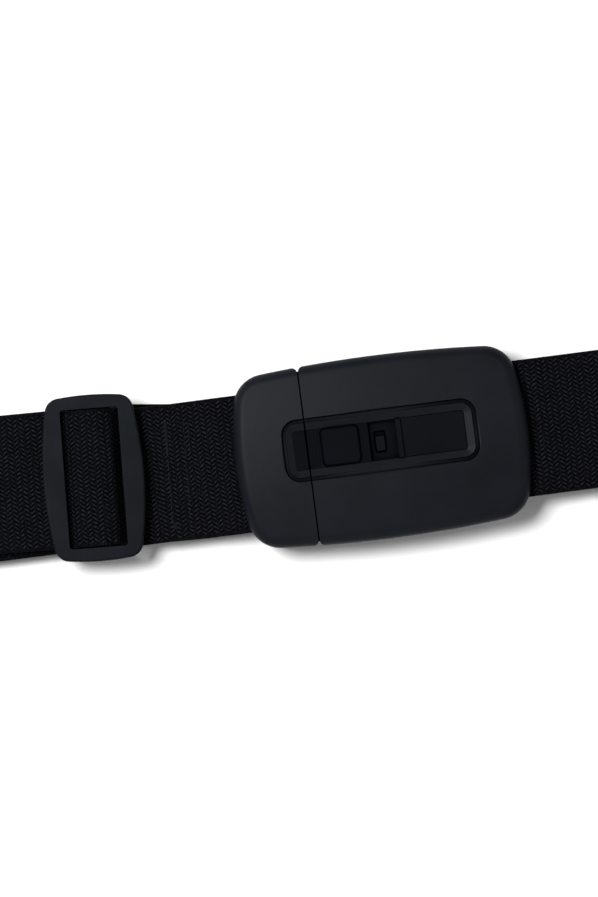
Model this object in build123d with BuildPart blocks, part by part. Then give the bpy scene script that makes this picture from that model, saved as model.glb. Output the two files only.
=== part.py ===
from build123d import *
import math
import os

# A luggage strap: 50 mm webbing with a press-release buckle and a tri-glide adjuster, lying
# folded flat. +X runs along the strap towards the receiver half of the buckle, +Z points out of
# the strap's face, and the origin is the middle of the footprint, on the surface that it lies on.
#
# The webbing is one length. It is sewn round the tongue's bar, goes left through the adjuster,
# round the folds as the front layer, round the receiver's bar, and back round the folds as the
# back layer, whose end is sewn round the adjuster's centre bar.

os.makedirs("parts", exist_ok=True)

# ---------------------------------------------------------------- driving dimensions, mm
STRAP_WIDTH = 50.0
STRAP_THICKNESS = 1.2
LAYER_PITCH = 1.5  # from one layer of the folded strap to the next
RIGHT_FOLD_X = 135.2  # where the folds on the right begin
LEFT_FOLD_X = -131.0
LEFT_FOLD_GAP = 2.0  # the tilted left fold stays this far from the straight layers
INNER_FOLD_X = -128.5  # the fold that lies inside the outermost one

BUCKLE_X = 30.0
BUCKLE_LENGTH = 107.2
BUCKLE_WIDTH = 66.9
BUCKLE_THICKNESS = 15.0
BUCKLE_REAR = 6 * LAYER_PITCH  # it lies on six layers of webbing
SIDE_CROWN = 4.0  # how far the two ends of the outline bow out
EDGE_CROWN = 2.5  # and its two long edges
CORNER_RADIUS = 12.0
FACE_EDGE_RADIUS = 4.5
REAR_EDGE_RADIUS = 1.6
FACE_CROWN_LONG = 2.8
FACE_CROWN_CROSS = 3.0
PARTING = BUCKLE_REAR + 5.0
WALL = 2.4
FLOOR_THICKNESS = 1.8
SEAM_X = 3.0
SEAM_GAP = 0.5
SEAM_WALL = 2.0
SEAM_CORNER = 1.9
LUG_INNER = 24.8  # two lugs on the tongue that line the halves up, and close the seam's ends
LUG_OUTER = 31.2
LUG_BOTTOM = BUCKLE_REAR + 1.9
LUG_LENGTH = 2.0

RECESS_Y = 2.4  # the face recess and what is in it lie a little above the middle line
RECESS_LENGTH = 62.7
RECESS_WIDTH = 14.4
RECESS_X = 29.55
RECESS_CORNER = 1.2
RING_CORNER = 6.0
RECESS_FLOOR = BUCKLE_REAR + 12.4
RING_WIDTH = 4.6  # of the slope round the recess, up to the face
RING_RISE = 2.05  # to the face along its long sides
RING_END_RISE = 1.35  # and at its ends, where the crowned face is lower
RING_SHIFT = 0.2  # the slope's outer edge lies this far to the right of the floor
GROOVE_INNER = 2.6  # the groove round the slope, from the edge of the recess's floor
GROOVE_OUTER = 4.25
GROOVE_DEPTH = 1.3
RIB_PLACES = (4.5, 5.7, 6.9)  # the low ribs between the seam and the button
RIB_RISE = 0.12
INLAY_SEAT = BUCKLE_REAR + 10.5
FLANGE_THICKNESS = 1.0
CLEARANCE = 0.1
SIDE_CLEARANCE = 0.25  # round the button, and under the face beside the cover

BUTTON_X = 15.2
BUTTON_SIZE = 14.0
BUTTON_CORNER = 2.0
BUTTON_TOP = BUCKLE_REAR + 13.1
SPRING_OFFSET = 7.2
SPRING_RADIUS = 1.3
SPRING_WIRE = 0.5
SPRING_COILS = 5

POCKET_X = 30.7
POCKET_LENGTH = 10.2
POCKET_WIDTH = 13.2
POCKET_CORNER = 1.0
POCKET_FLOOR = BUCKLE_REAR + 10.4
SLOT_X = 29.6
SLOT_Y = 1.98
SLOT_LENGTH = 8.0
SLOT_WIDTH = 4.4
TAB_Y = 1.35
TAB_WIDTH = 3.2
TAB_LENGTH = 5.3
SLIDER_HALF_LENGTH = 4.5
SLIDER_HALF_WIDTH = 5.5
SLIDER_THICKNESS = 1.7
DETENT_THICKNESS = 0.3
DETENT_HALF_WIDTH = 2.5
COVER_BOTTOM = BUCKLE_REAR + 11.35
COVER_LIP_WIDTH = 1.8
COVER_LIP_RISE = 0.7

CATCH_BOTTOM = BUCKLE_REAR + 5.4
CATCH_THICKNESS = 1.0
CATCH_END_X = 39.0
GUIDE_END_X = 40.0  # the walls that carry the catch plate
GUIDE_WALL = 1.8
PRONG_INNER = 9.6
PRONG_OUTER = 16.0
PRONG_BOTTOM = BUCKLE_REAR + 2.3
PRONG_THICKNESS = 2.8
PRONG_TIP_X = 26.0
PRONG_TAPER_X = 2.5
PRONG_TAPER_Y = 1.5
PLATE_LEFT_X = -6.2
PLATE_HALF_WIDTH = 19.0
ARM_WIDTH = 8.0
ARM_THICKNESS = 1.2
ARM_ROOT_X = -5.0
HOOK_X = 12.2
HOOK_TOP_END_X = 17.2
HOOK_TIP_X = 19.6

BAR_WIDTH = 5.0
BAR_THICKNESS = 2.0
BAR_LENGTH = 55.0
BAR_Z = BUCKLE_REAR + 5.0
TONGUE_BAR_X = -12.0
RECEIVER_BAR_X = 70.0

SCREW_RADIUS = 1.1
SCREW_HEAD_RADIUS = 2.0
SCREW_HEAD_HEIGHT = 1.3
SCREW_LENGTH = 8.5
DRIVE_LENGTH = 2.2  # the cross in a screw's head
DRIVE_WIDTH = 0.5
DRIVE_DEPTH = 0.7
BOSS_RADIUS = 3.0
RECEIVER_SCREWS = [(12.0, -26.0), (12.0, 26.5), (57.5, -26.0), (57.5, 26.5)]
TONGUE_SCREWS = [(-1.6, -26.0), (-1.6, 26.0)]

ADJUSTER_X = -75.4
ADJUSTER_Y = 2.3
ADJUSTER_TILT = 3.0  # degrees that the left run turns away from the buckle's axis
ADJUSTER_HALF_WIDTH = 18.45
ADJUSTER_HALF_HEIGHT = 30.4
ADJUSTER_BULGE = 3.2
ADJUSTER_BOTTOM = 13.3
ADJUSTER_THICKNESS = 3.2
WINDOW_WIDTH = 21.3
WINDOW_HEIGHT = 50.8
CENTRE_BAR_WIDTH = 6.0
CENTRE_BAR_BOTTOM = 12.6
CENTRE_BAR_THICKNESS = 1.6

TAIL_END_X = -52.0
STITCH_LENGTH = 2.3
STITCH_PITCH = 3.1
STITCH_HEIGHT = 0.25

TONGUE_FACE_X = SEAM_X - SEAM_GAP / 2
RECEIVER_FACE_X = SEAM_X + SEAM_GAP / 2
BUCKLE_TOP = BUCKLE_REAR + BUCKLE_THICKNESS
CAVITY_TOP = BUCKLE_REAR + 9.0
SEAT_TOP = CAVITY_TOP + 0.5  # posts and seats reach a little into the roof
RIB_BASE = BUCKLE_REAR + 1.0  # and a little into the floor
RECEIVER_MOUTH_X = 76.0  # where the opening for the webbing begins in each half
TONGUE_MOUTH_X = -17.0
BAR_SEAT_HALF = 4.5
BEYOND = 200.0  # larger than the whole strap

LEFT_RUN = Plane(
    origin=(ADJUSTER_X, ADJUSTER_Y, 0),
    x_dir=(math.cos(math.radians(ADJUSTER_TILT)), -math.sin(math.radians(ADJUSTER_TILT)), 0),
    z_dir=(-math.sin(math.radians(ADJUSTER_TILT)), -math.cos(math.radians(ADJUSTER_TILT)), 0),
)


def layer_z(number):
    """The height of the middle of a layer of the folded strap, counted from 0 at the bottom."""
    return number * LAYER_PITCH + STRAP_THICKNESS / 2


def fold(x, low, high, side):
    """A half-circle fold between two layers, bulging to the right (1) or to the left (-1)."""
    middle = (layer_z(low) + layer_z(high)) / 2
    radius = (layer_z(high) - layer_z(low)) / 2
    ThreePointArc((x, layer_z(low)), (x + side * radius, middle), (x, layer_z(high)))


def run(start_x, end_x, number):
    """A flat stretch of one layer."""
    Line((start_x, layer_z(number)), (end_x, layer_z(number)))


def block(low, high, mode=Mode.ADD):
    """A box between two corners."""
    size = [h - l for l, h in zip(low, high)]
    with Locations(tuple((l + h) / 2 for l, h in zip(low, high))):
        Box(*size, mode=mode)


def export(part, name):
    """Labels a finished piece and writes it."""
    part.label = name
    export_step(part, f"parts/{name}.step")


# ---------------------------------------------------------------- the buckle's outer form
half_length = BUCKLE_LENGTH / 2
half_width = BUCKLE_WIDTH / 2


def buckle_outline(inset=0.0):
    """The closed buckle's outline, or the same outline that much further in."""
    low_x = BUCKLE_X - half_length + inset
    high_x = BUCKLE_X + half_length - inset
    high_y = half_width - inset
    corner_y = high_y - EDGE_CROWN
    with BuildSketch() as outline:
        with BuildLine():
            top = ThreePointArc(
                (low_x + SIDE_CROWN, corner_y), (BUCKLE_X, high_y), (high_x - SIDE_CROWN, corner_y)
            )
            bottom = ThreePointArc(
                (low_x + SIDE_CROWN, -corner_y), (BUCKLE_X, -high_y), (high_x - SIDE_CROWN, -corner_y)
            )
            ThreePointArc(top @ 0, (low_x, 0), bottom @ 0)
            ThreePointArc(top @ 1, (high_x, 0), bottom @ 1)
        make_face()
        fillet(outline.vertices(), CORNER_RADIUS - inset)
    return outline.sketch


with BuildPart() as crown_form:
    axis_z = BUCKLE_TOP - half_width**2 / (2 * FACE_CROWN_CROSS)
    with BuildSketch(Plane.XZ):
        with BuildLine():
            left = (BUCKLE_X - half_length - 1, BUCKLE_TOP - FACE_CROWN_LONG)
            right = (BUCKLE_X + half_length + 1, BUCKLE_TOP - FACE_CROWN_LONG)
            crown = ThreePointArc(left, (BUCKLE_X, BUCKLE_TOP), right)
            Polyline(crown @ 1, (right[0], axis_z), (left[0], axis_z), crown @ 0)
        make_face()
    revolve(axis=Axis((0, 0, axis_z), (1, 0, 0)))

with BuildPart() as buckle_form:
    with BuildSketch(Plane.XY.offset(BUCKLE_REAR)):
        add(buckle_outline())
    extrude(amount=BUCKLE_THICKNESS)
    add(crown_form.part, mode=Mode.INTERSECT)
    fillet(buckle_form.faces().sort_by(Axis.Z)[-1].edges(), FACE_EDGE_RADIUS)
    fillet(buckle_form.faces().sort_by(Axis.Z)[0].edges(), REAR_EDGE_RADIUS)


def half_form(face_x, side):
    """The form of one half, to the given side of its face at the seam, whose corners are rounded."""
    with BuildSketch(Plane.XY.offset(BUCKLE_REAR)) as plan:
        add(buckle_outline())
        with Locations((face_x + side * BEYOND, 0)):
            Rectangle(2 * BEYOND, 2 * BEYOND, mode=Mode.INTERSECT)
        seam_corners = plan.vertices().sort_by(Axis.X, reverse=side < 0)[:2]
        fillet(seam_corners, SEAM_CORNER)
    with BuildPart() as half:
        add(plan.sketch)
        extrude(amount=BUCKLE_THICKNESS)
        add(buckle_form.part, mode=Mode.INTERSECT)
    return half.part


receiver_form = half_form(RECEIVER_FACE_X, 1)
tongue_form = half_form(TONGUE_FACE_X, -1)

# The hollow inside each half, and the recess with the groove round it, are cut from the form.
with BuildPart() as buckle_hollow:
    with BuildSketch(Plane.XY.offset(BUCKLE_REAR + FLOOR_THICKNESS)):
        add(buckle_outline(WALL))
    extrude(amount=CAVITY_TOP - BUCKLE_REAR - FLOOR_THICKNESS)

with BuildPart() as receiver_hollow:
    add(buckle_hollow.part)
    low = (RECEIVER_FACE_X + SEAM_WALL, -BEYOND, 0)
    block(low, (BEYOND, BEYOND, BUCKLE_TOP), mode=Mode.INTERSECT)

with BuildPart() as tongue_hollow:
    add(buckle_hollow.part)
    high = (TONGUE_FACE_X - SEAM_WALL, BEYOND, BUCKLE_TOP)
    block((-BEYOND, -BEYOND, 0), high, mode=Mode.INTERSECT)


def recess_outline(end_outset, side_outset, corner, shift=0.0, mode=Mode.ADD):
    """The outline of the recess's floor, or one that much further out at its ends and sides."""
    with Locations((RECESS_X + shift, RECESS_Y)):
        length = RECESS_LENGTH + 2 * end_outset
        width = RECESS_WIDTH + 2 * side_outset
        RectangleRounded(length, width, corner, mode=mode)


def groove_outline(outset, mode=Mode.ADD):
    """One edge of the groove, that far out from the edge of the recess's floor."""
    recess_outline(outset, outset, RING_CORNER + outset - RING_WIDTH, RING_SHIFT, mode)


with BuildPart() as recess:
    rise = BUCKLE_TOP + 0.8 - RECESS_FLOOR
    end_outset = RING_WIDTH * rise / RING_END_RISE
    side_outset = RING_WIDTH * rise / RING_RISE
    corner = RECESS_CORNER + 2 * (RING_CORNER - RECESS_CORNER)
    with BuildSketch(Plane.XY.offset(RECESS_FLOOR)):
        recess_outline(0, 0, RECESS_CORNER)
    with BuildSketch(Plane.XY.offset(RECESS_FLOOR + rise)):
        recess_outline(end_outset, side_outset, corner, 2 * RING_SHIFT)
    loft()
    with BuildSketch(Plane.XY.offset(INLAY_SEAT)):
        recess_outline(0, 0, RECESS_CORNER)
    extrude(amount=RECESS_FLOOR - INLAY_SEAT)

with BuildPart() as groove:
    with BuildSketch(Plane.XY.offset(INLAY_SEAT)):
        groove_outline(GROOVE_OUTER)
        groove_outline(GROOVE_INNER, Mode.SUBTRACT)
    extrude(amount=BUCKLE_TOP + 1 - INLAY_SEAT)
    add(crown_form.part.moved(Location((0, 0, -GROOVE_DEPTH))), mode=Mode.SUBTRACT)


def bar_seats(bar_x, low, high):
    """The blocks in one shell that hold both ends of a strap bar."""
    for side in (-1, 1):
        near, far = sorted((side * (STRAP_WIDTH / 2 + 0.8), side * (BAR_LENGTH / 2 + 2.0)))
        block((bar_x - BAR_SEAT_HALF, near, low), (bar_x + BAR_SEAT_HALF, far, high))


def bosses(places, low, high):
    """The posts that the screws go through."""
    with Locations([(x, y, (low + high) / 2) for x, y in places]):
        Cylinder(BOSS_RADIUS, high - low)


def screw_holes(places, radius):
    """Holes for the screws' shanks, and for their heads in the rear face."""
    with Locations([(x, y, BUCKLE_REAR + SCREW_LENGTH / 2 + 0.5) for x, y in places]):
        Cylinder(radius, SCREW_LENGTH + 1.2, mode=Mode.SUBTRACT)
    with Locations([(x, y, BUCKLE_REAR) for x, y in places]):
        Cylinder(SCREW_HEAD_RADIUS + 0.1, 3.0, mode=Mode.SUBTRACT)


# ---------------------------------------------------------------- the receiver half
PASSAGE_LOW = RECESS_Y - PRONG_OUTER - 0.3  # the passage that the tongue's prongs slide through
PASSAGE_HIGH = RECESS_Y + PRONG_OUTER + 0.3
HALF_MOUTH = STRAP_WIDTH / 2 + 0.5


def passage(face_x, low_z, high_z):
    """The opening in the wall along the seam that the prongs slide through."""
    low_x = face_x - SEAM_WALL - 0.5
    high_x = face_x + SEAM_WALL + 0.5
    block((low_x, PASSAGE_LOW, low_z), (high_x, PASSAGE_HIGH, high_z), mode=Mode.SUBTRACT)


def lugs(low_x, high_x, top, slack=0.0, mode=Mode.ADD):
    """The two lugs at the seam's ends, or their sockets."""
    for side in (-1, 1):
        near, far = sorted((side * (LUG_INNER - slack), side * (LUG_OUTER + slack)))
        block((low_x, near, LUG_BOTTOM - slack), (high_x, far, top), mode=mode)


with BuildPart() as receiver_rear_shell:
    add(receiver_form)
    block((RECEIVER_FACE_X, -BEYOND, BUCKLE_REAR), (BEYOND, BEYOND, PARTING), mode=Mode.INTERSECT)
    add(receiver_hollow.part, mode=Mode.SUBTRACT)
    passage(RECEIVER_FACE_X, BUCKLE_REAR + FLOOR_THICKNESS, PARTING + 1)
    guide_x = RECEIVER_FACE_X + SEAM_WALL
    for low_y in (PASSAGE_LOW - GUIDE_WALL, PASSAGE_HIGH):
        high_y = low_y + GUIDE_WALL
        block((guide_x, low_y, RIB_BASE), (GUIDE_END_X, high_y, PARTING))
        block((guide_x + 0.2, low_y, RIB_BASE), (GUIDE_END_X, high_y, CATCH_BOTTOM))
    bosses(RECEIVER_SCREWS, RIB_BASE, PARTING)
    bar_seats(RECEIVER_BAR_X, RIB_BASE, BAR_Z - BAR_THICKNESS / 2)
    screw_holes(RECEIVER_SCREWS, SCREW_RADIUS + 0.1)
    lugs(RECEIVER_FACE_X - 1, TONGUE_FACE_X + LUG_LENGTH + 0.2, PARTING + 1, 0.15, Mode.SUBTRACT)
    mouth_low = (RECEIVER_MOUTH_X, -HALF_MOUTH, BUCKLE_REAR + FLOOR_THICKNESS)
    block(mouth_low, (BEYOND, HALF_MOUTH, PARTING + 1), mode=Mode.SUBTRACT)
    with Locations([(BUTTON_X, RECESS_Y + s * SPRING_OFFSET, BUCKLE_REAR + 2.0) for s in (-1, 1)]):
        Cylinder(SPRING_RADIUS - SPRING_WIRE / 2 - 0.15, 2.0)
export(receiver_rear_shell.part, "receiver_rear_shell")

with BuildPart() as receiver_front_shell:
    add(receiver_form)
    block((RECEIVER_FACE_X, -BEYOND, PARTING), (BEYOND, BEYOND, BUCKLE_TOP + 1), mode=Mode.INTERSECT)
    add(receiver_hollow.part, mode=Mode.SUBTRACT)
    passage(RECEIVER_FACE_X, PARTING - 1, CATCH_BOTTOM + 0.2)
    bosses(RECEIVER_SCREWS, PARTING, SEAT_TOP)
    bar_seats(RECEIVER_BAR_X, BAR_Z + BAR_THICKNESS / 2, SEAT_TOP)
    block(
        (RECEIVER_FACE_X + SEAM_WALL, RECESS_Y - 10.5, CAVITY_TOP - 1),
        (64.0, RECESS_Y + 10.5, INLAY_SEAT),
        mode=Mode.SUBTRACT,
    )
    add(recess.part, mode=Mode.SUBTRACT)
    add(groove.part, mode=Mode.SUBTRACT)
    block(
        (POCKET_X - POCKET_LENGTH / 2, RECESS_Y - 8.0, COVER_BOTTOM - 0.05),
        (RECESS_X + RECESS_LENGTH / 2 + 0.2, RECESS_Y + 8.0, COVER_BOTTOM + 0.6),
        mode=Mode.SUBTRACT,
    )
    screw_holes(RECEIVER_SCREWS, SCREW_RADIUS + 0.03)
export(receiver_front_shell.part, "receiver_front_shell")

POCKET_LOW_X = POCKET_X - POCKET_LENGTH / 2
with BuildPart() as receiver_inlay:
    with BuildSketch(Plane.XY.offset(INLAY_SEAT)):
        recess_outline(-CLEARANCE, -CLEARANCE, RECESS_CORNER - CLEARANCE)
    extrude(amount=RECESS_FLOOR - INLAY_SEAT)
    low = (RECEIVER_FACE_X + CLEARANCE, -BEYOND, INLAY_SEAT)
    block(low, (BEYOND, BEYOND, RECESS_FLOOR), mode=Mode.INTERSECT)
    block(
        (RECEIVER_FACE_X + SEAM_WALL + 0.1, RECESS_Y - 9.6, INLAY_SEAT - FLANGE_THICKNESS),
        (63.5, RECESS_Y + 9.6, INLAY_SEAT),
    )
    hole = BUTTON_SIZE + 2 * SIDE_CLEARANCE
    with BuildSketch(Plane.XY.offset(INLAY_SEAT - FLANGE_THICKNESS)):
        with Locations((BUTTON_X, RECESS_Y)):
            RectangleRounded(hole, hole, BUTTON_CORNER + SIDE_CLEARANCE)
    extrude(amount=5.0, mode=Mode.SUBTRACT)
    block((POCKET_LOW_X, -BEYOND, COVER_BOTTOM - 0.05), (BEYOND, BEYOND, BUCKLE_TOP), mode=Mode.SUBTRACT)
    with BuildSketch(Plane.XY.offset(POCKET_FLOOR)):
        with Locations((POCKET_X, RECESS_Y)):
            RectangleRounded(POCKET_LENGTH, POCKET_WIDTH, POCKET_CORNER)
    extrude(amount=5.0, mode=Mode.SUBTRACT)
    with BuildSketch(Plane.XY.offset(INLAY_SEAT - FLANGE_THICKNESS)):
        with Locations((SLOT_X, SLOT_Y)):
            RectangleRounded(SLOT_WIDTH, SLOT_LENGTH, 0.8)
    extrude(amount=5.0, mode=Mode.SUBTRACT)
    with Locations([(x, RECESS_Y, RECESS_FLOOR) for x in RIB_PLACES]):
        Box(0.5, 12.0, 2 * RIB_RISE)
export(receiver_inlay.part, "receiver_inlay")

with BuildPart() as catch_plate:
    block(
        (RECEIVER_FACE_X + SEAM_WALL + 0.2, PASSAGE_LOW - GUIDE_WALL + CLEARANCE, CATCH_BOTTOM),
        (CATCH_END_X, PASSAGE_HIGH + GUIDE_WALL - CLEARANCE, CATCH_BOTTOM + CATCH_THICKNESS),
    )
    block(
        (HOOK_X - 0.2, RECESS_Y - ARM_WIDTH / 2 - 0.4, CATCH_BOTTOM - 1),
        (HOOK_TIP_X + 0.8, RECESS_Y + ARM_WIDTH / 2 + 0.4, CATCH_BOTTOM + 2),
        mode=Mode.SUBTRACT,
    )
    with Locations([(BUTTON_X, RECESS_Y + s * SPRING_OFFSET, CATCH_BOTTOM) for s in (-1, 1)]):
        Cylinder(SPRING_RADIUS + SPRING_WIRE / 2 + 0.4, 4.0, mode=Mode.SUBTRACT)
export(catch_plate.part, "catch_plate")

FLANGE_BOTTOM = INLAY_SEAT - FLANGE_THICKNESS - CLEARANCE - FLANGE_THICKNESS
with BuildPart() as release_button:
    with BuildSketch(Plane.XY.offset(FLANGE_BOTTOM)):
        with Locations((BUTTON_X, RECESS_Y)):
            RectangleRounded(BUTTON_SIZE, BUTTON_SIZE, BUTTON_CORNER)
    extrude(amount=BUTTON_TOP - FLANGE_BOTTOM)
    chamfer(release_button.faces().sort_by(Axis.Z)[-1].edges(), 0.7)
    flange_x = BUTTON_SIZE / 2 + 1.3
    flange_y = SPRING_OFFSET + SPRING_RADIUS + 0.6
    block(
        (BUTTON_X - flange_x, RECESS_Y - flange_y, FLANGE_BOTTOM),
        (BUTTON_X + flange_x, RECESS_Y + flange_y, FLANGE_BOTTOM + FLANGE_THICKNESS),
    )
    foot_bottom = CATCH_BOTTOM + CATCH_THICKNESS + 0.2
    block(
        (BUTTON_X - 2.0, RECESS_Y - ARM_WIDTH / 2, foot_bottom),
        (BUTTON_X + 2.0, RECESS_Y + ARM_WIDTH / 2, FLANGE_BOTTOM),
    )
export(release_button.part, "release_button")

with BuildPart() as button_springs:
    spring_bottom = BUCKLE_REAR + FLOOR_THICKNESS + SPRING_WIRE / 2 + 0.05
    spring_height = FLANGE_BOTTOM - SPRING_WIRE / 2 - 0.05 - spring_bottom
    for side in (-1, 1):
        foot = (BUTTON_X, RECESS_Y + side * SPRING_OFFSET, spring_bottom)
        with BuildLine():
            coil = Helix(spring_height / SPRING_COILS, spring_height, SPRING_RADIUS, center=foot)
        with BuildSketch(Plane(coil @ 0, z_dir=coil % 0)):
            Circle(SPRING_WIRE / 2)
        sweep(path=coil)
export(button_springs.part, "button_springs")

with BuildPart() as lock_slider:
    slider_top = INLAY_SEAT - FLANGE_THICKNESS - CLEARANCE
    slider_bottom = slider_top - SLIDER_THICKNESS
    block(
        (SLOT_X - SLIDER_HALF_LENGTH, TAB_Y - SLIDER_HALF_WIDTH, slider_bottom),
        (SLOT_X + SLIDER_HALF_LENGTH, TAB_Y + SLIDER_HALF_WIDTH, slider_top),
    )
    with BuildSketch(Plane.XY.offset(slider_top)):
        with Locations((SLOT_X, TAB_Y)):
            RectangleRounded(TAB_WIDTH, TAB_LENGTH, 0.5)
    extrude(amount=COVER_BOTTOM - 0.2 - slider_top)
export(lock_slider.part, "lock_slider")

with BuildPart() as lock_detent_spring:
    spring_low = CATCH_BOTTOM + CATCH_THICKNESS + 0.2
    spring_end = SLIDER_HALF_WIDTH + 1.0
    with BuildSketch(Plane.YZ.offset(SLOT_X)):
        with BuildLine():
            Spline(
                (TAB_Y - spring_end, spring_low),
                (TAB_Y, slider_bottom - 0.25),
                (TAB_Y + spring_end, spring_low),
            )
        trace(line_width=DETENT_THICKNESS)
    extrude(amount=DETENT_HALF_WIDTH, both=True)
export(lock_detent_spring.part, "lock_detent_spring")

COVER_LOW_X = POCKET_X + POCKET_LENGTH / 2
with BuildPart() as lock_cover:
    cover_end_x = RECESS_X + RECESS_LENGTH / 2 - 2 * CLEARANCE
    with BuildSketch(Plane.XY.offset(COVER_BOTTOM)):
        recess_outline(-2 * CLEARANCE, -2 * CLEARANCE, RECESS_CORNER - 2 * CLEARANCE)
    extrude(amount=RECESS_FLOOR + 0.1 - COVER_BOTTOM)
    block((COVER_LOW_X, -BEYOND, 0), (BEYOND, BEYOND, BUCKLE_TOP), mode=Mode.INTERSECT)
    block(
        (COVER_LOW_X, RECESS_Y - RECESS_WIDTH / 2 - 0.6, COVER_BOTTOM),
        (cover_end_x - RECESS_CORNER, RECESS_Y + RECESS_WIDTH / 2 + 0.6, COVER_BOTTOM + 0.5),
    )
    block(
        (COVER_LOW_X, RECESS_Y - RECESS_WIDTH / 2 + 0.2, COVER_BOTTOM),
        (
            COVER_LOW_X + COVER_LIP_WIDTH,
            RECESS_Y + RECESS_WIDTH / 2 - 0.2,
            RECESS_FLOOR + COVER_LIP_RISE,
        ),
    )
export(lock_cover.part, "lock_cover")


def strap_bar(bar_x):
    """A flat steel bar with rounded edges that the webbing goes round."""
    with BuildSketch(Plane.XZ) as section:
        with Locations((bar_x, BAR_Z)):
            RectangleRounded(BAR_WIDTH, BAR_THICKNESS, BAR_THICKNESS / 2 - 0.05)
    extrude(section.sketch, amount=BAR_LENGTH / 2, both=True)


def screws(places):
    """Pan-head screws, driven in from the rear face."""
    head_bottom = BUCKLE_REAR + 0.1
    with Locations([(x, y, head_bottom + SCREW_HEAD_HEIGHT / 2) for x, y in places]):
        Cylinder(SCREW_HEAD_RADIUS, SCREW_HEAD_HEIGHT)
    with Locations([(x, y, head_bottom + SCREW_LENGTH / 2) for x, y in places]):
        Cylinder(SCREW_RADIUS, SCREW_LENGTH)
    with Locations([(x, y, head_bottom) for x, y in places]):
        Box(DRIVE_LENGTH, DRIVE_WIDTH, 2 * DRIVE_DEPTH, mode=Mode.SUBTRACT)
        Box(DRIVE_WIDTH, DRIVE_LENGTH, 2 * DRIVE_DEPTH, mode=Mode.SUBTRACT)


with BuildPart() as receiver_strap_bar:
    strap_bar(RECEIVER_BAR_X)
export(receiver_strap_bar.part, "receiver_strap_bar")

with BuildPart() as receiver_screws:
    screws(RECEIVER_SCREWS)
export(receiver_screws.part, "receiver_screws")

# ---------------------------------------------------------------- the tongue half
LEFT_END = BUCKLE_X - half_length
with BuildPart() as tongue_rear_shell:
    add(tongue_form)
    block((-BEYOND, -BEYOND, BUCKLE_REAR), (TONGUE_FACE_X, BEYOND, PARTING), mode=Mode.INTERSECT)
    add(tongue_hollow.part, mode=Mode.SUBTRACT)
    passage(TONGUE_FACE_X, BUCKLE_REAR + FLOOR_THICKNESS, PARTING + 1)
    bosses(TONGUE_SCREWS, RIB_BASE, PARTING)
    bar_seats(TONGUE_BAR_X, RIB_BASE, BAR_Z - BAR_THICKNESS / 2)
    lugs(TONGUE_FACE_X - 1, TONGUE_FACE_X + LUG_LENGTH, PARTING - CLEARANCE)
    screw_holes(TONGUE_SCREWS, SCREW_RADIUS + 0.1)
    mouth_low = (-BEYOND, -HALF_MOUTH, BUCKLE_REAR + FLOOR_THICKNESS)
    block(mouth_low, (TONGUE_MOUTH_X, HALF_MOUTH, PARTING + 1), mode=Mode.SUBTRACT)
export(tongue_rear_shell.part, "tongue_rear_shell")

with BuildPart() as tongue_front_shell:
    add(tongue_form)
    block((-BEYOND, -BEYOND, PARTING), (TONGUE_FACE_X, BEYOND, BUCKLE_TOP + 1), mode=Mode.INTERSECT)
    add(tongue_hollow.part, mode=Mode.SUBTRACT)
    passage(TONGUE_FACE_X, PARTING - 1, CATCH_BOTTOM + 0.2)
    bosses(TONGUE_SCREWS, PARTING, SEAT_TOP)
    bar_seats(TONGUE_BAR_X, BAR_Z + BAR_THICKNESS / 2, SEAT_TOP)
    add(recess.part, mode=Mode.SUBTRACT)
    add(groove.part, mode=Mode.SUBTRACT)
    screw_holes(TONGUE_SCREWS, SCREW_RADIUS + 0.03)
    mouth_low = (LEFT_END + WALL, -HALF_MOUTH, PARTING - 1)
    block(mouth_low, (TONGUE_MOUTH_X, HALF_MOUTH, PARTING + 1.2), mode=Mode.SUBTRACT)
export(tongue_front_shell.part, "tongue_front_shell")

with BuildPart() as tongue_inlay:
    with BuildSketch(Plane.XY.offset(INLAY_SEAT)):
        recess_outline(-CLEARANCE, -CLEARANCE, RECESS_CORNER - CLEARANCE)
    extrude(amount=RECESS_FLOOR - INLAY_SEAT)
    high = (TONGUE_FACE_X - CLEARANCE, BEYOND, BUCKLE_TOP)
    block((-BEYOND, -BEYOND, INLAY_SEAT), high, mode=Mode.INTERSECT)
export(tongue_inlay.part, "tongue_inlay")

ARM_TOP = PRONG_BOTTOM + PRONG_THICKNESS
with BuildPart() as tongue_plate:
    plate_right_x = TONGUE_FACE_X - SEAM_WALL - 0.2
    block(
        (PLATE_LEFT_X, RECESS_Y - PLATE_HALF_WIDTH, PRONG_BOTTOM),
        (plate_right_x, RECESS_Y + PLATE_HALF_WIDTH, ARM_TOP),
    )
    for side in (-1, 1):
        near, far = sorted((RECESS_Y + side * PRONG_INNER, RECESS_Y + side * PRONG_OUTER))
        with BuildSketch(Plane.XY.offset(PRONG_BOTTOM)):
            with BuildLine():
                Polyline(
                    (plate_right_x - 1, near),
                    (PRONG_TIP_X - PRONG_TAPER_X, near),
                    (PRONG_TIP_X, near + PRONG_TAPER_Y),
                    (PRONG_TIP_X, far - PRONG_TAPER_Y),
                    (PRONG_TIP_X - PRONG_TAPER_X, far),
                    (plate_right_x - 1, far),
                    close=True,
                )
            make_face()
        extrude(amount=PRONG_THICKNESS)
    block(
        (
            ARM_ROOT_X - CLEARANCE,
            RECESS_Y - ARM_WIDTH / 2 - CLEARANCE,
            ARM_TOP - ARM_THICKNESS - CLEARANCE,
        ),
        (plate_right_x + 1, RECESS_Y + ARM_WIDTH / 2 + CLEARANCE, ARM_TOP + 1),
        mode=Mode.SUBTRACT,
    )
export(tongue_plate.part, "tongue_plate")

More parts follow.
